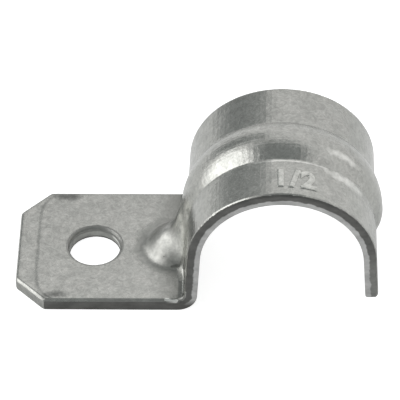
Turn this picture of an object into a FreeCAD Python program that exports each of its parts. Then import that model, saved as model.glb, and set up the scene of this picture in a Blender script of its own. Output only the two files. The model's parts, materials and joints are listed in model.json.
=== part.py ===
import FreeCAD, Part
import math
import os

import Sketcher

# One-hole conduit strap, blanked, embossed and folded from one strip of zinc-coated steel.
# Millimetres. The origin is the centre of the fixing hole on the foot's underside,
# +X runs along the strap to the seat, +Y along the conduit and +Z away from the wall.

SIZES = {
    # the strip
    "sheet": (1.75, "thickness of the strip"),
    "width": (20.5, "width of the strip, along the conduit"),
    "edge_roll": (0.5, "roll-over that blanking leaves on the outer rim"),
    # the foot
    "hole_radius": (3.4, "fixing hole"),
    "hole_to_end": (10.3, "hole's centre to the foot's end"),
    "corner_clip": (3.9, "legs of the clipped corners"),
    "corner_round": (0.9, "rounding where a clip meets an edge"),
    "bend_radius": (1.0, "inside radius of the fold between foot and web"),
    "web_lean": (4.0, "degrees that the web leans out towards the foot"),
    # the seat
    "hole_to_seat": (25.1, "hole's centre to the conduit's axis"),
    "seat_height": (8.8, "conduit's axis above the foot's underside"),
    "seat_radius": (10.65, "inside radius of the arch"),
    "leg_length": (6.8, "straight part of the free leg, below the arch"),
    "leg_lean": (3.0, "degrees that the free leg leans out"),
    "tip_round": (0.4, "rounding of the free leg's tip"),
    # the embossed rib
    "rib_rise": (0.95, "height of the rib above the arch"),
    "rib_crest": (6.8, "outside radius across the rib's crest"),
    "rib_root": (0.7, "radius of the hollow at each side of the rib"),
    "rib_run": (0.4, "straight stretch of rib on the free leg"),
    "fade_radius": (3.6, "radius of the two curves in which the rib fades out"),
    # the gusset
    "gusset_reach": (5.8, "outside of the arch to the toe of the gusset, along the foot"),
    "gusset_radius": (4.4, "outside radius across the gusset"),
    "gusset_slope": (45.0, "degrees between the gusset's ridge and the foot"),
    "gusset_blend": (3.5, "radius in which the gusset's ridge turns up into the rib"),
}

doc = FreeCAD.newDocument("ConduitStrap")
sizes = doc.addObject("Spreadsheet::Sheet", "sizes")
for row, (alias, (value, meaning)) in enumerate(SIZES.items(), start=1):
    sizes.set("A%d" % row, alias)
    sizes.set("B%d" % row, str(value))
    sizes.set("C%d" % row, meaning)
    sizes.setAlias("B%d" % row, alias)
doc.recompute()

strap = doc.addObject("PartDesign::Body", "conduit_strap")
strap.Label = "conduit_strap"


# Sketching: geometry is drawn in place, then held by constraints and driven dimensions

START, END, CENTRE = range(1, 4)
LEVEL_AXIS, UPRIGHT_AXIS = range(-1, -3, -1)
ORIGIN_POINT = (LEVEL_AXIS, START)


def size(alias):
    return float(getattr(sizes, alias))


def new_sketch(name, role):
    """A sketch on one of the strap's own origin planes."""
    sketch = strap.newObject("Sketcher::SketchObject", name)
    plane = next(feature for feature in strap.Origin.OriginFeatures if feature.Role == role)
    sketch.AttachmentSupport = [(plane, "")]
    sketch.MapMode = "FlatFace"
    return sketch


def point(across, up):
    return FreeCAD.Vector(across, up, 0)


def polar(centre, radius, degrees):
    turn = math.radians(degrees)
    return centre + point(radius * math.cos(turn), radius * math.sin(turn))


def line(start, end):
    return Part.LineSegment(start, end)


def arc(centre, radius, first, last):
    """An arc that runs counter-clockwise between two angles in degrees."""
    circle = Part.Circle(centre, FreeCAD.Vector(0, 0, 1), radius)
    return Part.ArcOfCircle(circle, math.radians(first), math.radians(last))


def constrain(sketch, *rules):
    for rule in rules:
        sketch.addConstraint(Sketcher.Constraint(*rule))


def dimension(sketch, name, expression, *rule):
    """A dimension that follows the driving sizes."""
    index = sketch.addConstraint(Sketcher.Constraint(*rule))
    sketch.renameConstraint(index, name)
    sketch.setExpression("Constraints." + name, expression)


def place(sketch, name, geometry, vertex, across, up):
    """Holds a point of the sketch at two expressions of the driving sizes."""
    drawn = sketch.getPoint(geometry, vertex)
    dimension(sketch, name + "_across", across, "DistanceX", *ORIGIN_POINT, geometry, vertex, drawn.x)
    dimension(sketch, name + "_up", up, "DistanceY", *ORIGIN_POINT, geometry, vertex, drawn.y)


# Places on the side view, shared by the sketches as they are drawn

mid_sheet = size("sheet") / 2
seat = point(size("hole_to_seat"), size("seat_height"))
inner_radius = size("seat_radius")
outer_radius = inner_radius + size("sheet")
web_angle = 180 - size("web_lean")
leg_angle = size("leg_lean")
web_down = polar(point(0, 0), 1, web_angle + 90)
leg_down = polar(point(0, 0), 1, leg_angle - 90)


def run_down(start, direction, level):
    """The point at a level on the straight run down from an end of the arch."""
    return start + direction * ((level - start.y) / direction.y)


web_at_fold = run_down(polar(seat, outer_radius, web_angle), web_down, size("sheet") + size("bend_radius"))
fold = web_at_fold - point(size("bend_radius") / math.cos(math.radians(size("web_lean"))), 0)
tip_inside = polar(seat, inner_radius, leg_angle) + leg_down * size("leg_length")
tip_outside = polar(tip_inside, size("sheet"), leg_angle)


# Solid features, each with its lengths driven by an expression

def pad(sketch, name, length):
    feature = strap.newObject("PartDesign::Pad", name)
    feature.Profile = sketch
    feature.SideType = "Symmetric"
    feature.setExpression("Length", length)
    doc.recompute()


def pocket(sketch, name, length):
    feature = strap.newObject("PartDesign::Pocket", name)
    feature.Profile = sketch
    feature.SideType = "Symmetric"
    feature.setExpression("Length", length)
    doc.recompute()


def pipe(kind, name, section, path):
    feature = strap.newObject("PartDesign::" + kind, name)
    feature.Profile = section
    feature.Spine = (path, ["Edge%d" % number for number in range(1, len(path.Shape.Edges) + 1)])
    doc.recompute()


def dress(kind, name, chosen, driven, expression):
    """A chamfer or fillet on the edges of the strap so far that pass a test."""
    base = strap.Tip
    edges = ["Edge%d" % number for number, edge in enumerate(base.Shape.Edges, start=1) if chosen(edge)]
    feature = strap.newObject("PartDesign::" + kind, name)
    feature.Base = (base, edges)
    feature.setExpression(driven, expression)
    doc.recompute()


# Gusset: a wedge in the fold whose ridge turns up into the rib, cut to a half-round along that ridge

CREST = "sizes.seat_radius + sizes.sheet + sizes.rib_rise"
TOE = "sizes.hole_to_seat - sizes.seat_radius - sizes.sheet - sizes.gusset_reach"
ARCH_START = "sizes.seat_height + (sizes.seat_radius + sizes.sheet + sizes.rib_rise) * sin(sizes.web_lean)"

toe = point(seat.x - outer_radius - size("gusset_reach"), size("sheet"))
arch_start = polar(seat, outer_radius + size("rib_rise"), web_angle)


def draw_ridge(sketch, first, low_end, high_end):
    """The crest line of the gusset: its slope, the turn and the start of the rib up the web."""
    crest = outer_radius + size("rib_rise")
    blend = size("gusset_blend")
    slope = math.radians(size("gusset_slope"))
    along = point(math.cos(slope), math.sin(slope))
    away = arch_start - toe
    reach = (away.x * web_down.y - away.y * web_down.x) / (along.x * web_down.y - along.y * web_down.x)
    corner = toe + along * reach
    turn = 90 - size("web_lean") - size("gusset_slope")
    trim = blend * math.tan(math.radians(turn / 2))
    centre = polar(corner - along * trim, blend, size("gusset_slope") + 90)
    sketch.addGeometry([
        line(toe + along * ((low_end - toe.y) / along.y), corner - along * trim),
        arc(centre, blend, size("gusset_slope") - 90, -size("web_lean")),
        line(corner - web_down * trim, run_down(arch_start, web_down, high_end)),
    ], False)
    sketch.addGeometry([Part.Point(seat), Part.Point(toe)], True)
    slope_line, turn_arc, web_line, seat_point, toe_point = range(first, first + 5)
    constrain(
        sketch,
        ("Tangent", slope_line, END, turn_arc, START),
        ("Tangent", turn_arc, END, web_line, START),
        ("PointOnObject", toe_point, START, slope_line),
    )
    place(sketch, "seat", seat_point, START, "sizes.hole_to_seat", "sizes.seat_height")
    place(sketch, "toe", toe_point, START, TOE, "sizes.sheet")
    dimension(sketch, "slope", "sizes.gusset_slope", "Angle", slope_line, slope)
    dimension(sketch, "blend", "sizes.gusset_blend", "Radius", turn_arc, blend)
    dimension(sketch, "rib_slope", "90 - sizes.web_lean", "Angle", web_line,
              math.radians(90 - size("web_lean")))
    dimension(sketch, "rib_crest", CREST, "Distance", seat_point, START, web_line, crest)


def draw_ridge_path():
    sketch = new_sketch("ridge_path", "XZ_Plane")
    draw_ridge(sketch, 0, -size("sheet"), arch_start.y)
    dimension(sketch, "low_end", "-sizes.sheet", "DistanceY", *ORIGIN_POINT, 0, START, -size("sheet"))
    dimension(sketch, "high_end", ARCH_START, "DistanceY", *ORIGIN_POINT, 2, END, arch_start.y)
    return sketch


def draw_wedge():
    """Side view of the wedge: its back lies in the middle of the foot, fold and web."""
    sketch = new_sketch("wedge_profile", "XZ_Plane")
    radius = size("bend_radius") + mid_sheet
    top_level = arch_start.y - mid_sheet
    draw_ridge(sketch, 0, mid_sheet, top_level)
    low_end, top = sketch.getPoint(0, START), sketch.getPoint(2, END)
    web_middle = run_down(polar(seat, inner_radius + mid_sheet, web_angle), web_down, top_level)
    sketch.addGeometry([
        line(low_end, point(fold.x, mid_sheet)),
        arc(fold, radius, 270, 360 - size("web_lean")),
        line(polar(fold, radius, -size("web_lean")), web_middle),
        line(web_middle, top),
    ], False)
    foot_middle, fold_middle, web_back, lid = range(5, 9)
    constrain(
        sketch,
        ("Coincident", foot_middle, START, 0, START),
        ("Tangent", foot_middle, END, fold_middle, START),
        ("Tangent", fold_middle, END, web_back, START),
        ("Coincident", web_back, END, lid, START),
        ("Coincident", lid, END, 2, END),
        ("Horizontal", foot_middle),
        ("Horizontal", lid),
        ("Parallel", web_back, 2),
    )
    dimension(sketch, "low_end", "sizes.sheet / 2", "DistanceY", *ORIGIN_POINT, 0, START, mid_sheet)
    dimension(sketch, "high_end", ARCH_START + " - sizes.sheet / 2",
              "DistanceY", *ORIGIN_POINT, 2, END, top_level)
    dimension(sketch, "fold", "sizes.bend_radius + sizes.sheet / 2", "Radius", fold_middle, radius)
    dimension(sketch, "web_middle", "sizes.seat_radius + sizes.sheet / 2",
              "Distance", 3, START, web_back, inner_radius + mid_sheet)
    return sketch


def square_to_ridge(sketch):
    """Stands a sketch across the gusset's ridge, at its toe on top of the foot."""
    turn = FreeCAD.Rotation(FreeCAD.Vector(0, 1, 0), 90 - size("gusset_slope"))
    sketch.AttachmentOffset = FreeCAD.Placement(FreeCAD.Vector(toe.x, 0, toe.y), turn)
    sketch.setExpression("AttachmentOffset.Base.x", TOE)
    sketch.setExpression("AttachmentOffset.Base.z", "sizes.sheet")
    sketch.setExpression("AttachmentOffset.Rotation.Angle", "90 - sizes.gusset_slope")


def draw_wedge_waste():
    """What is cut from the wedge to leave a half-round, with its crest on the ridge."""
    sketch = new_sketch("wedge_waste", "XY_Plane")
    square_to_ridge(sketch)
    radius = size("gusset_radius")
    margin = size("sheet")
    far = radius + margin
    corners = [point(radius, radius), point(radius, far), point(-margin, far),
               point(-margin, -far), point(radius, -far), point(radius, -radius)]
    sketch.addGeometry([line(start, end) for start, end in zip(corners, corners[1:])], False)
    sketch.addGeometry([arc(point(radius, 0), radius, 90, 270)], False)
    constrain(
        sketch,
        *[("Coincident", side, END, side + 1, START) for side in range(4)],
        ("Coincident", 4, END, 5, END),
        ("Coincident", 5, START, 0, START),
        ("Vertical", 0), ("Horizontal", 1), ("Horizontal", 3), ("Vertical", 4),
        ("Symmetric", 2, START, 2, END, LEVEL_AXIS),
        ("Vertical", 5, CENTRE, 0, START),
        ("Vertical", 5, CENTRE, 4, END),
        ("PointOnObject", 5, CENTRE, LEVEL_AXIS),
    )
    dimension(sketch, "radius", "sizes.gusset_radius", "Radius", 5, radius)
    dimension(sketch, "crest_on_ridge", "sizes.gusset_radius",
              "DistanceX", *ORIGIN_POINT, 5, CENTRE, radius)
    place(sketch, "corner", 2, START, "-sizes.sheet", "sizes.gusset_radius + sizes.sheet")
    return sketch


ridge_path = draw_ridge_path()
pad(draw_wedge(), "gusset_wedge", "2 * sizes.gusset_radius")
pipe("SubtractivePipe", "gusset_round", draw_wedge_waste(), ridge_path)


# Rib: a bead up the web and over the arch, which fades out on the free leg

FADE_TURN = "acos(1 - (sizes.rib_rise + sizes.sheet / 10) / 2 / sizes.fade_radius)"


def draw_rib_path():
    """The rib's crest line, from inside the gusset to just under the free leg's face."""
    sketch = new_sketch("rib_path", "XZ_Plane")
    crest = outer_radius + size("rib_rise")
    fade_radius = size("fade_radius")
    buried = size("sheet") / 10
    turn = math.degrees(math.acos(1 - (size("rib_rise") + buried) / 2 / fade_radius))
    web_top = polar(seat, crest, web_angle)
    leg_top = polar(seat, crest, leg_angle)
    leg_end = leg_top + leg_down * size("rib_run")
    inward = polar(leg_end, fade_radius, leg_angle + 180)
    outward = polar(inward, 2 * fade_radius, leg_angle - turn)
    sketch.addGeometry([
        line(run_down(web_top, web_down, mid_sheet), web_top),
        arc(seat, crest, leg_angle, web_angle),
        line(leg_end, leg_top),
        arc(inward, fade_radius, leg_angle - turn, leg_angle),
        arc(outward, fade_radius, leg_angle - turn + 180, leg_angle + 180),
    ], False)
    constrain(
        sketch,
        ("Tangent", 0, END, 1, END),
        ("Tangent", 2, END, 1, START),
        ("Tangent", 2, START, 3, END),
        ("Tangent", 3, START, 4, START),
        ("Equal", 3, 4),
    )
    place(sketch, "seat", 1, CENTRE, "sizes.hole_to_seat", "sizes.seat_height")
    dimension(sketch, "crest", CREST, "Radius", 1, crest)
    dimension(sketch, "web_slope", "90 - sizes.web_lean", "Angle", 0, math.radians(90 - size("web_lean")))
    dimension(sketch, "leg_slope", "90 + sizes.leg_lean", "Angle", 2, math.radians(90 + size("leg_lean")))
    dimension(sketch, "web_start", "sizes.sheet / 2", "DistanceY", *ORIGIN_POINT, 0, START, mid_sheet)
    dimension(sketch, "leg_run", "sizes.rib_run", "Distance", 2, size("rib_run"))
    dimension(sketch, "fade_radius", "sizes.fade_radius", "Radius", 3, fade_radius)
    dimension(sketch, "fade_in", FADE_TURN, "Angle", 3, math.radians(turn))
    dimension(sketch, "fade_out", FADE_TURN, "Angle", 4, math.radians(turn))
    return sketch


def draw_rib_section(name, inset, depth):
    """Section at the crown: a crest between two hollows, closed at a depth below the sheet's face.

    inset is 0 for the outside and the sheet's thickness for the matching inside face.
    """
    sketch = new_sketch(name, "YZ_Plane")
    sketch.AttachmentOffset = FreeCAD.Placement(FreeCAD.Vector(0, 0, seat.x), FreeCAD.Rotation())
    sketch.setExpression("AttachmentOffset.Base.z", "sizes.hole_to_seat")
    moved_in = size("sheet") if inset == "sizes.sheet" else 0
    crest = size("rib_crest") - moved_in
    root = size("rib_root") + moved_in
    face = seat.y + outer_radius - moved_in
    turn = math.degrees(math.acos(1 - size("rib_rise") / (crest + root)))
    half = (crest + root) * math.sin(math.radians(turn))
    floor = face - mid_sheet
    sketch.addGeometry([
        arc(point(-half, face + root), root, 270, 270 + turn),
        arc(point(0, face + size("rib_rise") - crest), crest, 90 - turn, 90 + turn),
        arc(point(half, face + root), root, 270 - turn, 270),
        line(point(half, face), point(half, floor)),
        line(point(half, floor), point(-half, floor)),
        line(point(-half, floor), point(-half, face)),
    ], False)
    constrain(
        sketch,
        ("Tangent", 0, END, 1, END),
        ("Tangent", 1, START, 2, START),
        ("Coincident", 2, END, 3, START),
        ("Coincident", 3, END, 4, START),
        ("Coincident", 4, END, 5, START),
        ("Coincident", 5, END, 0, START),
        ("Vertical", 3), ("Horizontal", 4), ("Vertical", 5),
        ("Vertical", 0, CENTRE, 0, START),
        ("Vertical", 2, CENTRE, 2, END),
        ("Horizontal", 0, START, 2, END),
        ("Equal", 0, 2),
        ("PointOnObject", 1, CENTRE, UPRIGHT_AXIS),
    )
    dimension(sketch, "crest", "sizes.rib_crest - " + inset, "Radius", 1, crest)
    dimension(sketch, "root", "sizes.rib_root + " + inset, "Radius", 0, root)
    dimension(sketch, "face", "sizes.seat_height + sizes.seat_radius + sizes.sheet - " + inset,
              "DistanceY", *ORIGIN_POINT, 0, START, face)
    dimension(sketch, "crest_centre",
              "sizes.seat_height + sizes.seat_radius + sizes.sheet + sizes.rib_rise - sizes.rib_crest",
              "DistanceY", *ORIGIN_POINT, 1, CENTRE, face + size("rib_rise") - crest)
    dimension(sketch, "depth", depth, "DistanceY", 3, END, 3, START, face - floor)
    return sketch


rib_path = draw_rib_path()
doc.recompute()
pipe("AdditivePipe", "rib", draw_rib_section("rib_section", "0", "sizes.sheet / 5"), rib_path)


# Strip: the foot, fold, web, arch and free leg, all of one thickness

def draw_strip():
    sketch = new_sketch("strip_profile", "XZ_Plane")
    thick = size("sheet")
    bend = size("bend_radius")
    lean = size("web_lean")
    foot_end = -size("hole_to_end")
    sketch.addGeometry([
        line(point(foot_end, 0), point(foot_end, thick)),
        line(point(foot_end, thick), point(fold.x, thick)),
        arc(fold, bend, 270, 360 - lean),
        line(polar(fold, bend, -lean), polar(seat, outer_radius, web_angle)),
        arc(seat, outer_radius, leg_angle, web_angle),
        line(polar(seat, outer_radius, leg_angle), tip_outside),
        line(tip_outside, tip_inside),
        line(tip_inside, polar(seat, inner_radius, leg_angle)),
        arc(seat, inner_radius, leg_angle, web_angle),
        line(polar(seat, inner_radius, web_angle), polar(fold, bend + thick, -lean)),
        arc(fold, bend + thick, 270, 360 - lean),
        line(point(fold.x, 0), point(foot_end, 0)),
    ], False)
    constrain(
        sketch,
        ("Coincident", 11, END, 0, START),
        ("Coincident", 0, END, 1, START),
        ("Tangent", 1, END, 2, START),
        ("Tangent", 2, END, 3, START),
        ("Tangent", 3, END, 4, END),
        ("Tangent", 4, START, 5, START),
        ("Coincident", 5, END, 6, START),
        ("Coincident", 6, END, 7, START),
        ("Tangent", 7, END, 8, START),
        ("Tangent", 8, END, 9, START),
        ("Tangent", 9, END, 10, END),
        ("Tangent", 10, START, 11, START),
        ("Vertical", 0),
        ("Horizontal", 1),
        ("PointOnObject", 0, START, LEVEL_AXIS),
        ("Perpendicular", 5, 6),
        ("Coincident", 4, CENTRE, 8, CENTRE),
        ("Coincident", 2, CENTRE, 10, CENTRE),
    )
    place(sketch, "seat", 8, CENTRE, "sizes.hole_to_seat", "sizes.seat_height")
    dimension(sketch, "foot_end", "-sizes.hole_to_end", "DistanceX", *ORIGIN_POINT, 0, START, foot_end)
    dimension(sketch, "foot_thickness", "sizes.sheet", "DistanceY", 0, START, 0, END, thick)
    dimension(sketch, "seat_radius", "sizes.seat_radius", "Radius", 8, inner_radius)
    dimension(sketch, "arch_radius", "sizes.seat_radius + sizes.sheet", "Radius", 4, outer_radius)
    dimension(sketch, "bend_radius", "sizes.bend_radius", "Radius", 2, bend)
    dimension(sketch, "web_slope", "90 - sizes.web_lean", "Angle", 3, math.radians(90 - lean))
    dimension(sketch, "leg_slope", "90 + sizes.leg_lean", "Angle", 7, math.radians(90 + leg_angle))
    dimension(sketch, "leg_length", "sizes.leg_length", "Distance", 7, size("leg_length"))
    return sketch


pad(draw_strip(), "strip", "sizes.width")


# Hollows under the gusset and the rib, which keep the embossed wall as thick as the strip

def draw_gusset_hollow():
    sketch = new_sketch("gusset_hollow_section", "XY_Plane")
    square_to_ridge(sketch)
    radius = size("gusset_radius")
    inside = radius - size("sheet")
    sketch.addGeometry([
        line(point(radius, inside), point(2 * radius, inside)),
        line(point(2 * radius, inside), point(2 * radius, -inside)),
        line(point(2 * radius, -inside), point(radius, -inside)),
        arc(point(radius, 0), inside, 90, 270),
    ], False)
    constrain(
        sketch,
        ("Coincident", 0, END, 1, START),
        ("Coincident", 1, END, 2, START),
        ("Tangent", 2, END, 3, END),
        ("Tangent", 3, START, 0, START),
        ("Horizontal", 0), ("Horizontal", 2), ("Vertical", 1),
        ("PointOnObject", 3, CENTRE, LEVEL_AXIS),
    )
    dimension(sketch, "inside", "sizes.gusset_radius - sizes.sheet", "Radius", 3, inside)
    dimension(sketch, "centre", "sizes.gusset_radius", "DistanceX", *ORIGIN_POINT, 3, CENTRE, radius)
    dimension(sketch, "depth", "2 * sizes.gusset_radius", "DistanceX", *ORIGIN_POINT, 0, END, 2 * radius)
    return sketch


pipe("SubtractivePipe", "gusset_hollow", draw_gusset_hollow(), ridge_path)
pipe("SubtractivePipe", "rib_groove", draw_rib_section("groove_section", "sizes.sheet", "sizes.sheet"), rib_path)


# Foot: the fixing hole and the clipped, slightly rounded corners

def draw_hole():
    sketch = new_sketch("fixing_hole_outline", "XY_Plane")
    circle = Part.Circle(point(0, 0), FreeCAD.Vector(0, 0, 1), size("hole_radius"))
    sketch.addGeometry([circle], False)
    constrain(sketch, ("Coincident", 0, CENTRE, *ORIGIN_POINT))
    dimension(sketch, "radius", "sizes.hole_radius", "Radius", 0, size("hole_radius"))
    return sketch


def near(first, second):
    return abs(first - second) < 1e-4


def is_end_corner(edge):
    box = edge.BoundBox
    return near(box.YLength, 0) and near(box.XMin, -size("hole_to_end")) and near(box.XMax, box.XMin)


def is_clip_corner(edge):
    box = edge.BoundBox
    upright = near(box.XLength, 0) and near(box.ZLength, size("sheet"))
    return upright and box.XMax < -size("hole_radius")


pocket(draw_hole(), "fixing_hole", "4 * sizes.sheet")
dress("Chamfer", "clipped_corners", is_end_corner, "Size", "sizes.corner_clip")
dress("Fillet", "rounded_clips", is_clip_corner, "Radius", "sizes.corner_round")


# Rim: the roll-over that blanking leaves on the outer side, and the free leg's tip

def is_at(edge, place_on_side_view):
    return near((point(edge.CenterOfMass.x, edge.CenterOfMass.z) - place_on_side_view).Length, 0)


def is_outer_rim(edge):
    """Edges of the foot's top, the hole's mouth, the tip and the outer face along the strip's sides."""
    ends = [vertex.Point for vertex in edge.Vertexes]
    on_side = all(near(abs(end.y), size("width") / 2) for end in ends)
    if near(edge.BoundBox.YLength, size("width")):
        return is_at(edge, tip_outside)
    if all(near(end.z, size("sheet")) for end in ends):
        return on_side or all(end.x < toe.x for end in ends)
    at_fold = near(getattr(edge.Curve, "Radius", 0), size("bend_radius"))
    on_arch = any(near(math.hypot(end.x - seat.x, end.z - seat.y), outer_radius) for end in ends)
    return on_side and (at_fold or on_arch)


def is_tip_inside(edge):
    return near(edge.BoundBox.YLength, size("width")) and is_at(edge, tip_inside)


dress("Fillet", "rolled_rim", is_outer_rim, "Radius", "sizes.edge_roll")
dress("Fillet", "rounded_tip", is_tip_inside, "Radius", "sizes.tip_round")


# Check and write

doc.recompute()
failed = [item.Name for item in doc.Objects if "Invalid" in item.State or "Error" in item.State]
if failed:
    raise RuntimeError("failed: " + ", ".join(failed))
if strap.Shape.isNull() or not strap.Shape.isValid() or len(strap.Shape.Solids) != 1:
    raise RuntimeError("the strap is not one valid solid")
os.makedirs("parts", exist_ok=True)
strap.Shape.exportStep("parts/conduit_strap.step")
print("conduit_strap", round(strap.Shape.Volume, 2), "mm3")
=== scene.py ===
import bpy
import json
import math
from mathutils import Matrix, Vector, geometry


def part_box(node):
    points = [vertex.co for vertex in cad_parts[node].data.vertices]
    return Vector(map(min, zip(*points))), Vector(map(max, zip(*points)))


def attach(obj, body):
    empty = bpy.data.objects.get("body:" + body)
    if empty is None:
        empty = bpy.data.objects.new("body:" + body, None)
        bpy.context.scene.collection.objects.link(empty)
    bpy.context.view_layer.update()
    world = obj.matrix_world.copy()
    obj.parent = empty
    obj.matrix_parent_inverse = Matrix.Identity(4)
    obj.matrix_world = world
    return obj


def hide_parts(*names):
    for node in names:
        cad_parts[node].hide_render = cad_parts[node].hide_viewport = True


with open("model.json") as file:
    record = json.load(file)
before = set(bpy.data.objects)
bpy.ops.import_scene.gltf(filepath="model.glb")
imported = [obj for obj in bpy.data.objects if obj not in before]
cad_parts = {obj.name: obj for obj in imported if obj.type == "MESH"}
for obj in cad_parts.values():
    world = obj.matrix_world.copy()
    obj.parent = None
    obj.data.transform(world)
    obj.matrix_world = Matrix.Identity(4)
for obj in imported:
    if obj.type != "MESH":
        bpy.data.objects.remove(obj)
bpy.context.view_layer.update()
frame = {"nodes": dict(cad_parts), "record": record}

# The strap: one piece of sheet steel, blanked, embossed and folded in a press.
# It takes its form from the CAD strap, whose gusset is swelled to a blunt bulb with a neck. The whole is then
# remade as an even skin of small quads, and the stretched metal around the gusset is relaxed.

cad_strap = frame["nodes"]["conduit_strap"]
MERGE = 1e-6
SHEET = 0.00175

strap = bpy.data.objects.new("strap", cad_strap.data.copy())
bpy.context.scene.collection.objects.link(strap)
strap.data.materials.clear()
bpy.ops.object.select_all(action="DESELECT")
strap.select_set(True)
bpy.context.view_layer.objects.active = strap
bpy.ops.object.mode_set(mode="EDIT")
bpy.ops.mesh.select_all(action="SELECT")
bpy.ops.mesh.remove_doubles(threshold=MERGE)
bpy.ops.object.mode_set(mode="OBJECT")

# two blunt cones, a wide one for the bulb and a steep one that leads it into the rib, are added to the
# sheet, and then the punch's round nose is pushed through from behind
SHAPES = (
    # name, x of its axis, low and high end, radius at each, width to length, what is done with it
    ("bulb", 0.0109, SHEET / 2, 0.0048, 0.0050, 0.0014, 1.06, "UNION"),
    ("neck", 0.0125, 0.0035, 0.0096, 0.0027, 0.0009, 1.25, "UNION"),
    ("nose", 0.0109, -0.0007, 0.0022, 0.0025, 0.0012, 1.0, "DIFFERENCE"),
)
MID_WEB = (0.0131, 0, 0)
for name, axis_x, bottom, top, wide, narrow, ratio, operation in SHAPES:
    bpy.ops.object.select_all(action="DESELECT")
    bpy.ops.mesh.primitive_cone_add(
        vertices=96, radius1=wide, radius2=narrow, depth=top - bottom,
        location=(axis_x, 0, (bottom + top) / 2), scale=(1, ratio, 1),
    )
    tool = bpy.context.object
    bpy.ops.object.transform_apply()
    bpy.ops.object.mode_set(mode="EDIT")
    bpy.ops.mesh.select_all(action="SELECT")
    if operation == "UNION":
        bpy.ops.mesh.bisect(plane_co=MID_WEB, plane_no=(1, 0, 0), use_fill=True, clear_outer=True)
    bpy.ops.object.mode_set(mode="OBJECT")
    bpy.context.view_layer.objects.active = strap
    press = strap.modifiers.new(name, "BOOLEAN")
    press.operation = operation
    press.object = tool
    bpy.ops.object.modifier_apply(modifier=press.name)
    bpy.data.objects.remove(tool)

skin = strap.modifiers.new("even skin", "REMESH")
skin.mode = "SHARP"
skin.octree_depth = 8
skin.scale = 0.9
skin.sharpness = 1.0
bpy.ops.object.modifier_apply(modifier=skin.name)

# how far the metal relaxes: most in the root, the hollow round the bulb's foot, but little at its front
BULB_X = SHAPES[0][1]
ROOT, ROOT_WIDTH, ROOT_FULL = 0.0044, 0.0011, 1.5
FRONT, FRONT_SHARE = -0.001, 0.3
root = strap.vertex_groups.new(name="root")
for vertex in strap.data.vertices:
    x, y, z = vertex.co
    reach = ROOT_FULL - abs(math.hypot(x - BULB_X, y) - ROOT) / ROOT_WIDTH
    reach = min(reach, 1.0 if y > FRONT else FRONT_SHARE)
    if reach > 0 and SHEET / 2 < z < 2 * SHEET:
        root.add([vertex.index], reach, "REPLACE")
RELAXED = (
    # name, centre on the far side, distances at which it is full and at which it ends, and its largest x
    ("soft", (BULB_X, 0, 0.0040), 0.0054, 0.0070, math.inf),
    ("neck", (0.0119, 0.0020, 0.0064), 0.0015, 0.0040, 0.0129),
)
for name, centre, full, end, limit in RELAXED:
    group = strap.vertex_groups.new(name=name)
    for vertex in strap.data.vertices:
        x, y, z = vertex.co
        reach = (end - (Vector((x, abs(y), z)) - Vector(centre)).length) / (end - full)
        if reach > 0 and x < limit:
            group.add([vertex.index], min(reach, 1.0), "REPLACE")
for name, rounds in (("root", 100), ("soft", 60), ("neck", 160)):
    relax = strap.modifiers.new("relax", "SMOOTH")
    relax.factor = 0.5
    relax.iterations = rounds
    relax.vertex_group = name
    bpy.ops.object.modifier_apply(modifier=relax.name)

# drawn in by a hair, so that no rounding takes it past the CAD strap
DRAWN_IN = 0.000012
draw_in = strap.modifiers.new("draw in", "DISPLACE")
draw_in.mid_level = 0.0
draw_in.strength = -DRAWN_IN
bpy.ops.object.modifier_apply(modifier=draw_in.name)
bpy.ops.object.shade_smooth_by_angle(angle=math.radians(40))

# The sheared edges: the strip's sides, the foot's end, the tip and the wall of the hole. A point there
# has a depth, from 0 at the strap's outer face to 1 at its inner one, worked out along the side view.

BEND = 0.001
WEB_LEAN, LEG_LEAN = math.radians(4), math.radians(3)
seat = next(mount for mount in frame["record"]["mounts"] if mount["name"] == "conduit_seat")
seat_x, _, seat_z = seat["pos_m"]
outer_radius = seat["dims"]["r_mm"] / 1000 + SHEET
fold_z = SHEET + BEND
fold_x = seat_x - (BEND + outer_radius - (fold_z - seat_z) * math.sin(WEB_LEAN)) / math.cos(WEB_LEAN)


def depth_at(x, z):
    across, up = x - seat_x, z - seat_z
    if up > 0:
        depth = outer_radius - math.hypot(across, up)
    elif across > 0:
        depth = outer_radius - across * math.cos(LEG_LEAN) - up * math.sin(LEG_LEAN)
    elif z > fold_z:
        depth = outer_radius + across * math.cos(WEB_LEAN) - up * math.sin(WEB_LEAN)
    elif x > fold_x:
        depth = math.hypot(x - fold_x, z - fold_z) - BEND
    else:
        depth = SHEET - z
    return depth / SHEET


depth = strap.data.attributes.new("depth", "FLOAT", "POINT")
for vertex in strap.data.vertices:
    depth.data[vertex.index].value = depth_at(vertex.co.x, vertex.co.z)

# painted marks: painted shadow, black, in the creases where the gusset's front flank meets the foot and the
# web and at the fold's front end, two dark specks, and painted highlights along the fold, on the corner's
# small burr and inside the hole
MARKS = (
    # kind, its two ends and half its width
    ("pinched", (0.0105, -0.0042, 0.0020), (0.0120, -0.0041, 0.0025), 0.00018),
    ("pinched", (0.0113, -0.0044, 0.0022), (0.0119, -0.0041, 0.0031), 0.00018),
    ("pinched", (0.0119, -0.0041, 0.0031), (0.0122, -0.0036, 0.0049), 0.00018),
    ("pinched", (0.0114, -0.0093, 0.00185), (0.0115, -0.0099, 0.00175), 0.00026),
    ("rubbed", (0.01200, -0.0049, 0.00215), (0.01210, -0.0092, 0.00225), 0.00014),
    ("pinched", (0.0006, 0.0062, SHEET), (0.0008, 0.0062, SHEET), 0.00012),
    ("pinched", (0.0094, -0.0030, 0.0027), (0.0095, -0.0030, 0.0027), 0.00012),
    ("rubbed", (0.0099, -0.0100, 0.0017), (0.0112, -0.0101, 0.0016), 0.00016),
    ("rubbed", (0.0033, 0.00085, 0.0008), (0.0029, 0.00185, 0.0009), 0.00013),
    ("rubbed", (0.0029, 0.00185, 0.0009), (0.0024, 0.00245, 0.0010), 0.00013),
)
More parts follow.
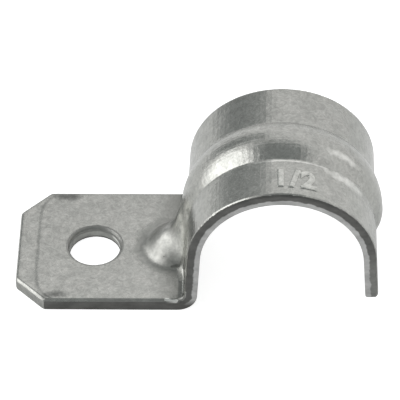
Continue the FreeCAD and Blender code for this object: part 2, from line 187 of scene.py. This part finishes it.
for kind, start, end, half_width in MARKS:
    left = strap.data.attributes.get(kind) or strap.data.attributes.new(kind, "FLOAT", "POINT")
    for vertex in strap.data.vertices:
        nearest, part = geometry.intersect_point_line(vertex.co, start, end)
        nearest = Vector(start).lerp(Vector(end), min(max(part, 0), 1))
        strength = min(2 - (vertex.co - nearest).length / half_width, 1.0)
        if strength > left.data[vertex.index].value:
            left.data[vertex.index].value = strength

# the zinc is stretched dull over the gusset's bulb
BULB_FOOT = Vector((BULB_X, 0, 0.001))
BULB_REACH, BULB_FADE = 0.0062, 0.0014
stretched = strap.data.attributes.new("stretched", "FLOAT", "POINT")
for vertex in strap.data.vertices:
    reach = (BULB_REACH - (vertex.co - BULB_FOOT).length) / BULB_FADE
    stretched.data[vertex.index].value = min(max(reach, 0.0), 1.0)

# and a painted highlight brightens it where the web bends round the rib's lower end
SHEEN_Y, SHEEN_Z = -0.0015, 0.0072
SHEEN_WIDTH, SHEEN_HEIGHT = 0.0070, 0.0040
SHEEN_START, SHEEN_FADE = 0.0106, 0.0012
MID_SHEET = 0.0132
fresh = strap.data.attributes.new("fresh", "FLOAT", "POINT")
for vertex in strap.data.vertices:
    x, y, z = vertex.co
    reach = (1.3 - math.hypot((y - SHEEN_Y) / SHEEN_WIDTH, (z - SHEEN_Z) / SHEEN_HEIGHT)) / 0.5
    reach = min(reach, (x - SHEEN_START) / SHEEN_FADE)
    if x < MID_SHEET:
        fresh.data[vertex.index].value = min(max(reach, 0.0), 1.0)

# each sheared face and how burnished it is: 1 on the two sides and the tip, less on the free leg, whose
# shear is paler towards its end, on the foot's end and its clipped corners, and least in the hole
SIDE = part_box("conduit_strap")[1][1] - 0.0003
FOOT_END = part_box("conduit_strap")[0][0] + 0.0001
HOLE = 0.0039
LEG_TOP, LEG_FADE, LEG_PALER = 0.0115, 0.006, 0.3
strap.data.materials.append(bpy.data.materials.new("galvanised steel"))
strap.data.materials.append(bpy.data.materials.new("sheared edge"))
burnish = strap.data.attributes.new("burnish", "FLOAT", "FACE")
for face in strap.data.polygons:
    place, facing = face.center, face.normal
    upright = abs(facing.z) < 0.35 and place.z < SHEET
    # the roll-over is deeper on the flat foot than on the bent strip
    turned = 0.9 - 0.3 * min(max((place.z - 0.002) / 0.004, 0), 1)
    if abs(facing.y) > turned and abs(place.y) > SIDE:
        paler = min(max((LEG_TOP - place.z) / LEG_FADE, 0), 1) if place.x > seat_x else 0
        burnished = 1.0 - LEG_PALER * paler
    elif upright and math.hypot(place.x, place.y) < HOLE:
        burnished = 0.2
    elif upright and place.x < FOOT_END:
        burnished = 0.8
    elif upright and place.x < 0:
        burnished = 0.3
    elif facing.z < -0.9 and place.x > seat_x and place.z < seat_z / 2:
        burnished = 1.0
    else:
        continue
    face.material_index = 1
    burnish.data[face.index].value = burnished
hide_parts("conduit_strap")
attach(strap, "root")

# The size mark: the trade size, 1/2, which the die raises in low relief on the front band of the arch.
# Its figures are part of the sheet, so they have the same zinc on them and no sharp edge.

MARK_HEIGHT = 0.0030
CAP_HEIGHT = 0.73  # of a figure, as a share of the text size
MARK_RELIEF = 0.00013
MARK_BEVEL = 0.00022
MARK_GRAIN = 0.00005
MARK_SWELL = 0.00002
MARK_ALONG, MARK_ACROSS = 0.0016, -0.0072  # from the arch's top, and from the strip's middle
bpy.ops.object.select_all(action="DESELECT")
bpy.ops.object.text_add()
mark = bpy.context.object
mark.name = "size_mark"
mark.data.body = "1/2"
mark.data.size = MARK_HEIGHT / CAP_HEIGHT
mark.data.space_character = 1.1
mark.data.align_x = "CENTER"
mark.data.align_y = "CENTER"
mark.data.offset = MARK_SWELL
mark.data.bevel_depth = MARK_BEVEL
mark.data.bevel_resolution = 4
bpy.ops.object.convert(target="MESH")
skin = mark.modifiers.new("even skin", "REMESH")
skin.mode = "VOXEL"
skin.voxel_size = MARK_GRAIN
bpy.ops.object.modifier_apply(modifier=skin.name)
worn = mark.modifiers.new("worn", "SMOOTH")
worn.factor = 0.5
worn.iterations = 6
bpy.ops.object.modifier_apply(modifier=worn.name)

# the figures' tops are brightened with a painted highlight, and the flat text is bent onto the arch
TOP_SHEEN = 0.5
top = mark.data.attributes.new("fresh", "FLOAT", "POINT")
for vertex in mark.data.vertices:
    x, y, z = vertex.co
    top.data[vertex.index].value = min(max(z / MARK_BEVEL, 0.0), TOP_SHEEN)
    bearing = (x + MARK_ALONG) / outer_radius
    radius = outer_radius + z * MARK_RELIEF / MARK_BEVEL
    vertex.co = (
        seat_x + radius * math.sin(bearing), y + MARK_ACROSS, seat_z + radius * math.cos(bearing),
    )
mark.data.materials.clear()
mark.data.materials.append(strap.data.materials["galvanised steel"])
bpy.ops.object.shade_smooth()
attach(mark, "root")

# Galvanised steel: a satin zinc skin over the rolled sheet. It has a fine mottle of zinc grains, cloudy
# patches and wisps where the coating dulls, and a faintly uneven surface that breaks up its reflections.
# The grains are finer than this on the real sheet, and are drawn as coarse as they need to show.


def linear(code):
    """The linear colour of an sRGB hex value."""
    channels = [int(code[i:i + 2], 16) / 255 for i in (1, 3, 5)]
    return [c / 12.92 if c <= 0.04045 else ((c + 0.055) / 1.055) ** 2.4 for c in channels] + [1.0]


def node(tree, kind, settings=(), output=None):
    """Adds a node and returns one of its outputs.

    A setting is a property of the node or, by name or number, one of its inputs: a socket is linked to it.
    """
    made = tree.nodes.new(kind)
    settings = dict(settings)
    for name in [key for key in settings if isinstance(key, str) and hasattr(made, key)]:
        setattr(made, name, settings.pop(name))
    inputs = [socket for socket in made.inputs if socket.enabled]
    for name, value in settings.items():
        socket = inputs[name] if isinstance(name, int) else next(s for s in inputs if s.name == name)
        if isinstance(value, bpy.types.NodeSocket):
            tree.links.new(value, socket)
        else:
            socket.default_value = value
    return next((s for s in made.outputs if s.enabled and output in (None, s.name)), made)


zinc = strap.data.materials["galvanised steel"]
zinc.use_nodes = True
tree = zinc.node_tree
tree.nodes.clear()
CLOUD, WISP, GRAIN = 1 / 700, 1 / 900, 1 / 3300  # 1.4, 1.1 and 0.3 mm
place = node(tree, "ShaderNodeTexCoord", output="Object")
cloud = node(tree, "ShaderNodeTexNoise", {
    "Vector": place, "Scale": 1 / CLOUD, "Detail": 6, "Roughness": 0.68,
}, "Fac")
grain = node(tree, "ShaderNodeTexNoise", {
    "Vector": place, "Scale": 1 / GRAIN, "Detail": 3, "Roughness": 0.6,
}, "Fac")
dull = node(tree, "ShaderNodeMapRange", {"Value": cloud, "From Min": 0.3, "From Max": 0.7}, "Result")
colour = node(tree, "ShaderNodeMix", {
    "data_type": "RGBA", "Factor": dull, "A": linear("#9D9E9A"), "B": linear("#ADADA9"),
}, "Result")
fleck = node(tree, "ShaderNodeMapRange", {
    "Value": grain, "From Min": 0.3, "From Max": 0.7, "To Min": 0.93, "To Max": 1.05,
}, "Result")
wisp = node(tree, "ShaderNodeTexNoise", {
    "Vector": place, "Scale": 1 / WISP, "Detail": 4, "Roughness": 0.6, "Distortion": 2.2,
}, "Fac")
wisp = node(tree, "ShaderNodeMapRange", {
    "Value": wisp, "From Min": 0.36, "From Max": 0.64, "To Min": 0.87, "To Max": 1.13,
}, "Result")
fleck = node(tree, "ShaderNodeMath", {"operation": "MULTIPLY", 0: fleck, 1: wisp})

# it is a little darker towards the back, brightened by a painted highlight beside the rib's lower end and on
# the figures' tops, and matt over the bulb
across = node(tree, "ShaderNodeSeparateXYZ", {"Vector": place}, "Y")
back_darkening = node(tree, "ShaderNodeMapRange", {
    "Value": across, "From Min": -0.01, "From Max": 0.01, "To Min": 1.08, "To Max": 0.98,
}, "Result")
fleck = node(tree, "ShaderNodeMath", {"operation": "MULTIPLY", 0: fleck, 1: back_darkening})
bright = node(tree, "ShaderNodeAttribute", {"attribute_name": "fresh"}, "Fac")
bright = node(tree, "ShaderNodeMath", {"operation": "MULTIPLY_ADD", 0: bright, 1: 0.55, 2: 1.0})
fleck = node(tree, "ShaderNodeMath", {"operation": "MULTIPLY", 0: fleck, 1: bright})
matt = node(tree, "ShaderNodeAttribute", {"attribute_name": "stretched"}, "Fac")
dulled = node(tree, "ShaderNodeMath", {"operation": "MULTIPLY_ADD", 0: matt, 1: -0.15, 2: 1.0})
fleck = node(tree, "ShaderNodeMath", {"operation": "MULTIPLY", 0: fleck, 1: dulled})
colour = node(tree, "ShaderNodeVectorMath", {"operation": "SCALE", "Vector": colour, "Scale": fleck})

# the press line across the foot, where the blank was held, curves in towards the clipped corners
PRESS_LINE, PRESS_SLOPE, PRESS_MARK = -0.0076, 0.0003, 0.0005
HALF_STRAIGHT, CURVE, CURVED_IN = 0.0094, 7.0, 0.0016
along = node(tree, "ShaderNodeSeparateXYZ", {"Vector": place}, "X")
aside = node(tree, "ShaderNodeMath", {"operation": "ABSOLUTE", 0: across})
bow = node(tree, "ShaderNodeMath", {"operation": "DIVIDE", 0: aside, 1: HALF_STRAIGHT})
bow = node(tree, "ShaderNodeMath", {"operation": "POWER", 0: bow, 1: CURVE})
bowed = node(tree, "ShaderNodeMath", {"operation": "MULTIPLY_ADD", 0: bow, 1: -CURVED_IN, 2: along})
step = node(tree, "ShaderNodeMapRange", {
    "interpolation_type": "SMOOTHSTEP", "Value": bowed,
    "From Min": PRESS_LINE - PRESS_SLOPE, "From Max": PRESS_LINE + PRESS_SLOPE,
}, "Result")
# a thin line of painted shade runs along the press line
gap = node(tree, "ShaderNodeMath", {"operation": "SUBTRACT", 0: bowed, 1: PRESS_LINE})
gap = node(tree, "ShaderNodeMath", {"operation": "ABSOLUTE", 0: gap})
press_line_shade = node(tree, "ShaderNodeMapRange", {
    "Value": gap, "From Min": PRESS_MARK, "From Max": PRESS_MARK / 5, "To Max": 0.09,
}, "Result")

# painted shade in two patches along the foot's two long edges, mixed in with the press line's painted shade
EDGE_SHADES = (
    # centre and half-lengths
    ((-0.0040, 0.0094, SHEET), (0.0026, 0.0008, 0.001)),
    ((-0.0050, -0.0092, SHEET), (0.0020, 0.0007, 0.001)),
)
painted_shade = press_line_shade
for centre, reach in EDGE_SHADES:
    offset = node(tree, "ShaderNodeVectorMath", {"operation": "SUBTRACT", 0: place, 1: centre})
    offset = node(tree, "ShaderNodeVectorMath", {"operation": "DIVIDE", 0: offset, 1: reach})
    far = node(tree, "ShaderNodeVectorMath", {"operation": "LENGTH", 0: offset}, "Value")
    far = node(tree, "ShaderNodeMath", {"operation": "ADD", 0: far, 1: dull})
    edge_shade = node(tree, "ShaderNodeMapRange", {
        "Value": far, "From Min": 1.7, "From Max": 0.7, "To Max": 0.85,
    }, "Result")
    painted_shade = node(tree, "ShaderNodeMath", {"operation": "MAXIMUM", 0: painted_shade, 1: edge_shade})
colour = node(tree, "ShaderNodeMix", {
    "data_type": "RGBA", "Factor": painted_shade, "A": colour, "B": linear("#5E5F5D"),
}, "Result")

# painted shadow, black and ragged, in the creases beside the gusset, and the two dark specks
black = node(tree, "ShaderNodeAttribute", {"attribute_name": "pinched"}, "Fac")
black = node(tree, "ShaderNodeMath", {"operation": "MULTIPLY_ADD", 0: cloud, 1: 2.0, 2: black})
black = node(tree, "ShaderNodeMapRange", {"Value": black, "From Min": 1.7, "From Max": 2.2}, "Result")
colour = node(tree, "ShaderNodeMix", {
    "data_type": "RGBA", "Factor": black, "A": colour, "B": linear("#3A3B38"),
}, "Result")

# painted shade on the foot towards the fold, low down by the bulb
level = node(tree, "ShaderNodeSeparateXYZ", {"Vector": place}, "Z")
by_fold = node(tree, "ShaderNodeMapRange", {
    "interpolation_type": "SMOOTHSTEP", "Value": along, "From Min": 0.0070, "From Max": 0.0125,
}, "Result")
low_down = node(tree, "ShaderNodeMapRange", {
    "Value": level, "From Min": 0.0032, "From Max": 0.0021,
}, "Result")
fold_shade = node(tree, "ShaderNodeMath", {"operation": "MULTIPLY", 0: by_fold, 1: low_down})
fold_shade = node(tree, "ShaderNodeMath", {"operation": "MULTIPLY", 0: fold_shade, 1: 0.75})
colour = node(tree, "ShaderNodeMix", {
    "data_type": "RGBA", "Factor": fold_shade, "A": colour, "B": linear("#696A66"),
}, "Result")

# the roll-over along the strap's two sides and round the hole is darker, in patches, and rougher than the
# faces
PATCH = 1 / 260  # 3.8 mm
rim_band = node(tree, "ShaderNodeMapRange", {
    "Value": aside, "From Min": SIDE - 0.0003, "From Max": SIDE,
}, "Result")
patchy = node(tree, "ShaderNodeTexNoise", {
    "Vector": place, "Scale": 1 / PATCH, "Detail": 4, "Roughness": 0.6,
}, "Fac")
patchy = node(tree, "ShaderNodeMapRange", {"Value": patchy, "From Min": 0.38, "From Max": 0.62}, "Result")
rim_band = node(tree, "ShaderNodeMath", {"operation": "MULTIPLY", 0: rim_band, 1: patchy})
flat = node(tree, "ShaderNodeCombineXYZ", {"X": along, "Y": across})
from_hole = node(tree, "ShaderNodeVectorMath", {"operation": "LENGTH", 0: flat}, "Value")
mouth = node(tree, "ShaderNodeMapRange", {
    "Value": from_hole, "From Min": HOLE + 0.00005, "From Max": HOLE - 0.0001,
}, "Result")
rim_band = node(tree, "ShaderNodeMath", {"operation": "MAXIMUM", 0: rim_band, 1: mouth})
rim_darkening = node(tree, "ShaderNodeMath", {"operation": "MULTIPLY", 0: rim_band, 1: 0.6})
colour = node(tree, "ShaderNodeMix", {
    "data_type": "RGBA", "Factor": rim_darkening, "A": colour, "B": linear("#7C7C7A"),
}, "Result")

# painted highlights along the rib's front root and on its shoulder
HIGHLIGHTS = (
    # along the arch from its top, across from the middle, and half-lengths
    ((0.0010, -0.0038), (0.0062, 0.00017)),
    ((0.0091, -0.0043), (0.0034, 0.00080)),
    ((0.0080, -0.0012), (0.0025, 0.00065)),
)
TATTER = 1 / 1100  # 0.9 mm
off_seat = node(tree, "ShaderNodeVectorMath", {"operation": "SUBTRACT", 0: place, 1: (seat_x, 0, seat_z)})
over = node(tree, "ShaderNodeSeparateXYZ", {"Vector": off_seat}, "X")
above = node(tree, "ShaderNodeSeparateXYZ", {"Vector": off_seat}, "Z")
round_seat = node(tree, "ShaderNodeMath", {"operation": "ARCTAN2", 0: over, 1: above})
round_seat = node(tree, "ShaderNodeMath", {"operation": "MULTIPLY", 0: round_seat, 1: outer_radius})
unrolled = node(tree, "ShaderNodeCombineXYZ", {"X": round_seat, "Y": across})
inside = node(tree, "ShaderNodeVectorMath", {"operation": "LENGTH", 0: off_seat}, "Value")
outside = node(tree, "ShaderNodeMath", {
    "operation": "GREATER_THAN", 0: inside, 1: outer_radius - SHEET / 4,
})
ragged = node(tree, "ShaderNodeTexNoise", {"Vector": place, "Scale": 1 / TATTER, "Detail": 3}, "Fac")
rubbed = None
for (u, v), (length, width) in HIGHLIGHTS:
    offset = node(tree, "ShaderNodeVectorMath", {"operation": "SUBTRACT", 0: unrolled, 1: (u, v, 0)})
    offset = node(tree, "ShaderNodeVectorMath", {"operation": "DIVIDE", 0: offset, 1: (length, width, 1)})
    far = node(tree, "ShaderNodeVectorMath", {"operation": "LENGTH", 0: offset}, "Value")
    far = node(tree, "ShaderNodeMath", {"operation": "MULTIPLY_ADD", 0: ragged, 1: 1.6, 2: far})
    highlight = node(tree, "ShaderNodeMapRange", {
        "Value": far, "From Min": 1.9, "From Max": 1.1, "To Max": 0.7,
    }, "Result")
    rubbed = node(tree, "ShaderNodeMath", {"operation": "MAXIMUM", 0: rubbed, 1: highlight}) if rubbed else highlight
rubbed = node(tree, "ShaderNodeMath", {"operation": "MULTIPLY", 0: rubbed, 1: outside})
# and the painted highlights listed among the marks: along the fold, on the corner's small burr and in the
# hole
glint = node(tree, "ShaderNodeAttribute", {"attribute_name": "rubbed"}, "Fac")
glint = node(tree, "ShaderNodeMath", {"operation": "MULTIPLY_ADD", 0: ragged, 1: 1.5, 2: glint})
glint = node(tree, "ShaderNodeMapRange", {"Value": glint, "From Min": 1.2, "From Max": 1.5}, "Result")
rubbed = node(tree, "ShaderNodeMath", {"operation": "MAXIMUM", 0: rubbed, 1: glint})
colour = node(tree, "ShaderNodeMix", {
    "data_type": "RGBA", "Factor": rubbed, "A": colour, "B": linear("#E6E6E2"),
}, "Result")

# it shines less on the darker roll-over and where it is stretched, and its surface waves, is dimpled and
# steps at the line
WAVE, DIMPLE, STEP = 0.00009, 0.00004, 0.000045
rough = node(tree, "ShaderNodeMapRange", {
    "Value": cloud, "From Min": 0.3, "From Max": 0.7, "To Min": 0.27, "To Max": 0.17,
}, "Result")
rough = node(tree, "ShaderNodeMath", {"operation": "MULTIPLY_ADD", 0: rim_band, 1: 0.2, 2: rough})
rough = node(tree, "ShaderNodeMath", {"operation": "MULTIPLY_ADD", 0: matt, 1: 0.13, 2: rough})
waves = node(tree, "ShaderNodeBump", {"Height": cloud, "Strength": 0.6, "Distance": WAVE})
dimples = node(tree, "ShaderNodeBump", {
    "Height": grain, "Strength": 0.22, "Distance": DIMPLE, "Normal": waves,
})
pressed = node(tree, "ShaderNodeBump", {
    "Height": step, "Strength": 1.0, "Distance": STEP, "Normal": dimples,
})
surface = node(tree, "ShaderNodeBsdfPrincipled", {
    "Base Color": colour, "Metallic": 1.0, "Roughness": rough, "Normal": pressed,
})
node(tree, "ShaderNodeOutputMaterial", {"Surface": surface})

# Sheared edge: bare steel, cut in the blanking tool. A dark burnished band lies under the roll-over, and a
# paler, rough fracture on the inner side, both with fine streaks along the cut.

shear = strap.data.materials["sheared edge"]
shear.use_nodes = True
tree = shear.node_tree
tree.nodes.clear()
place = node(tree, "ShaderNodeTexCoord", output="Object")
below = node(tree, "ShaderNodeAttribute", {"attribute_name": "depth"}, "Fac")
level = node(tree, "ShaderNodeSeparateXYZ", {"Vector": place}, "Z")
CHATTER, STREAK, TEAR = 1 / 1500, 1 / 1400, 0.00006  # 0.7 mm, 0.7 mm, and how deep
chatter = node(tree, "ShaderNodeTexNoise", {"Vector": place, "Scale": 1 / CHATTER, "Detail": 3}, "Fac")
torn = node(tree, "ShaderNodeMath", {"operation": "MULTIPLY_ADD", 0: chatter, 1: 0.3, 2: below})
torn = node(tree, "ShaderNodeMapRange", {"Value": torn, "From Min": 0.7, "From Max": 0.78}, "Result")
off_foot = node(tree, "ShaderNodeMapRange", {
    "Value": level, "From Min": 0.0008, "From Max": 0.002,
}, "Result")
torn = node(tree, "ShaderNodeMath", {"operation": "MULTIPLY", 0: torn, 1: off_foot})
worn = node(tree, "ShaderNodeAttribute", {"attribute_name": "burnish"}, "Fac")
colour = node(tree, "ShaderNodeMix", {
    "data_type": "RGBA", "Factor": worn, "A": linear("#B4B5B1"), "B": linear("#646462"),
}, "Result")
colour = node(tree, "ShaderNodeMix", {
    "data_type": "RGBA", "Factor": torn, "A": colour, "B": linear("#B2B2B1"),
}, "Result")
drawn_out = node(tree, "ShaderNodeMapping", {"Vector": place, "Scale": (0.35, 1, 0.7)})
streak = node(tree, "ShaderNodeTexNoise", {
    "Vector": drawn_out, "Scale": 1 / STREAK, "Detail": 4, "Roughness": 0.6,
}, "Fac")
streak = node(tree, "ShaderNodeMapRange", {
    "Value": streak, "From Min": 0.35, "From Max": 0.65, "To Min": 0.84, "To Max": 1.14,
}, "Result")
colour = node(tree, "ShaderNodeVectorMath", {"operation": "SCALE", "Vector": colour, "Scale": streak})

# painted highlights on the burr and in the hole, and in the hole, whose wall is the least burnished, lines of
# painted shade at its mouth, where the shear begins and at the burr at its lower end
glint = node(tree, "ShaderNodeAttribute", {"attribute_name": "rubbed"}, "Fac")
colour = node(tree, "ShaderNodeMix", {
    "data_type": "RGBA", "Factor": glint, "A": colour, "B": linear("#F0F0EC"),
}, "Result")
in_hole = node(tree, "ShaderNodeMapRange", {"Value": worn, "From Min": 0.28, "From Max": 0.22}, "Result")
LINES = (
    # depth, half its width and how dark
    (0.10, 0.14, 0.30),
    (0.33, 0.07, 0.35),
    (0.97, 0.09, 0.75),
)
for line, half_width, darkness in LINES:
    off = node(tree, "ShaderNodeMath", {"operation": "SUBTRACT", 0: below, 1: line})
    off = node(tree, "ShaderNodeMath", {"operation": "ABSOLUTE", 0: off})
    shadow = node(tree, "ShaderNodeMapRange", {
        "Value": off, "From Min": 1.4 * half_width, "From Max": 0.6 * half_width, "To Max": darkness,
    }, "Result")
    shadow = node(tree, "ShaderNodeMath", {"operation": "MULTIPLY", 0: shadow, 1: in_hole})
    colour = node(tree, "ShaderNodeMix", {
        "data_type": "RGBA", "Factor": shadow, "A": colour, "B": linear("#2C2C2B"),
    }, "Result")
streaks = node(tree, "ShaderNodeBump", {"Height": chatter, "Strength": 0.5, "Distance": TEAR})
surface = node(tree, "ShaderNodeBsdfPrincipled", {
    "Base Color": colour, "Metallic": 1.0, "Roughness": 0.5, "Normal": streaks,
})
node(tree, "ShaderNodeOutputMaterial", {"Surface": surface})


# The floor: white paper that the strap stands on, which keeps its shadow. It is lit up to white where the
# camera sees it, and a little where the metal mirrors it.

FLOOR_SIZE = 4.0
SEEN_GLOW, MIRRORED_GLOW = 0.75, 0.25
floor_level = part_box("conduit_strap")[0][2]
bpy.ops.object.select_all(action="DESELECT")
bpy.ops.mesh.primitive_plane_add(size=FLOOR_SIZE, location=(0, 0, floor_level))
floor = bpy.context.object
floor.name = "floor"
paper = bpy.data.materials.new("white paper")
paper.use_nodes = True
tree = paper.node_tree
tree.nodes.clear()
seen = node(tree, "ShaderNodeLightPath", output="Is Camera Ray")
mirrored = node(tree, "ShaderNodeLightPath", output="Is Glossy Ray")
glow = node(tree, "ShaderNodeMath", {"operation": "MULTIPLY", 0: mirrored, 1: MIRRORED_GLOW})
glow = node(tree, "ShaderNodeMath", {"operation": "MULTIPLY_ADD", 0: seen, 1: SEEN_GLOW, 2: glow})
lit = node(tree, "ShaderNodeBsdfDiffuse", {"Color": linear("#E6E6E6")})
glow = node(tree, "ShaderNodeEmission", {"Color": linear("#FFFFFF"), "Strength": glow})
both = node(tree, "ShaderNodeAddShader", {0: lit, 1: glow})
node(tree, "ShaderNodeOutputMaterial", {"Surface": both})
floor.data.materials.append(paper)

# The studio: an open white surround that is dim overhead and in front, with darker patches that the arch
# mirrors, and one soft window of light on the left. The camera sees it as plain white.

world = bpy.data.worlds.new("studio")
bpy.context.scene.world = world
world.use_nodes = True
tree = world.node_tree
tree.nodes.clear()
SURROUND = (
    # bearing from the back towards the right, height above the horizon, core, edge, brightness
    (-90, 84, 22, 42, 0.43),
    (180, -5, 40, 80, 0.45),
    (62, 0, 20, 45, 1.0),
    (-23, 38, 5, 14, 0.5),
    (-45, 4, 8, 20, 0.65),
    (-38, 23, 6, 19, 0.38),
    (-86, 30, 10, 36, 2.75),
    (-2, 46, 6, 15, 1.1),
)
OPEN_WHITE = 1.05
look = node(tree, "ShaderNodeTexCoord", output="Generated")
shade = OPEN_WHITE
for bearing, height, core, edge, brightness in SURROUND:
    around, above = math.radians(bearing), math.radians(height)
    aim = (math.sin(around) * math.cos(above), math.cos(around) * math.cos(above), math.sin(above))
    facing = node(tree, "ShaderNodeVectorMath", {"operation": "DOT_PRODUCT", 0: look, 1: aim}, "Value")
    patch = node(tree, "ShaderNodeMapRange", {
        "interpolation_type": "SMOOTHSTEP", "Value": facing,
        "From Min": math.cos(math.radians(edge)), "From Max": math.cos(math.radians(core)),
    }, "Result")
    shade = node(tree, "ShaderNodeMix", {
        "data_type": "FLOAT", "Factor": patch, "A": shade, "B": brightness,
    }, "Result")
seen = node(tree, "ShaderNodeLightPath", output="Is Camera Ray")
shade = node(tree, "ShaderNodeMix", {
    "data_type": "FLOAT", "Factor": seen, "A": shade, "B": 1.0,
}, "Result")
dim = node(tree, "ShaderNodeMapRange", {"Value": shade, "From Min": 0.9, "From Max": 0.4}, "Result")
tint = node(tree, "ShaderNodeMix", {
    "data_type": "RGBA", "Factor": dim, "A": linear("#FFFFFF"), "B": linear("#EEF4F4"),
}, "Result")
background = node(tree, "ShaderNodeBackground", {"Color": tint, "Strength": shade})
node(tree, "ShaderNodeOutputWorld", {"Surface": background})

# The camera stands in front of the strap's open side and looks down on it, a little over 40 degrees.

CAMERA_PLACE = (0.02406, -0.2862, 0.28916)
CAMERA_TURN, CAMERA_TILT, CAMERA_ROLL = 1.96, 45.765, -1.14
camera_data = bpy.data.cameras.new("camera")
camera_data.sensor_width = 36.0
camera_data.lens = 271.94
camera = bpy.data.objects.new("camera", camera_data)
bpy.context.scene.collection.objects.link(camera)
turn = Matrix.Rotation(math.radians(CAMERA_TURN), 3, "Z")
tilt = Matrix.Rotation(math.radians(CAMERA_TILT), 3, "X")
roll = Matrix.Rotation(math.radians(CAMERA_ROLL), 3, "Z")
camera.rotation_euler = (turn @ tilt @ roll).to_euler()
camera.location = CAMERA_PLACE
bpy.context.scene.camera = camera
bpy.context.scene.view_settings.view_transform = "Standard"
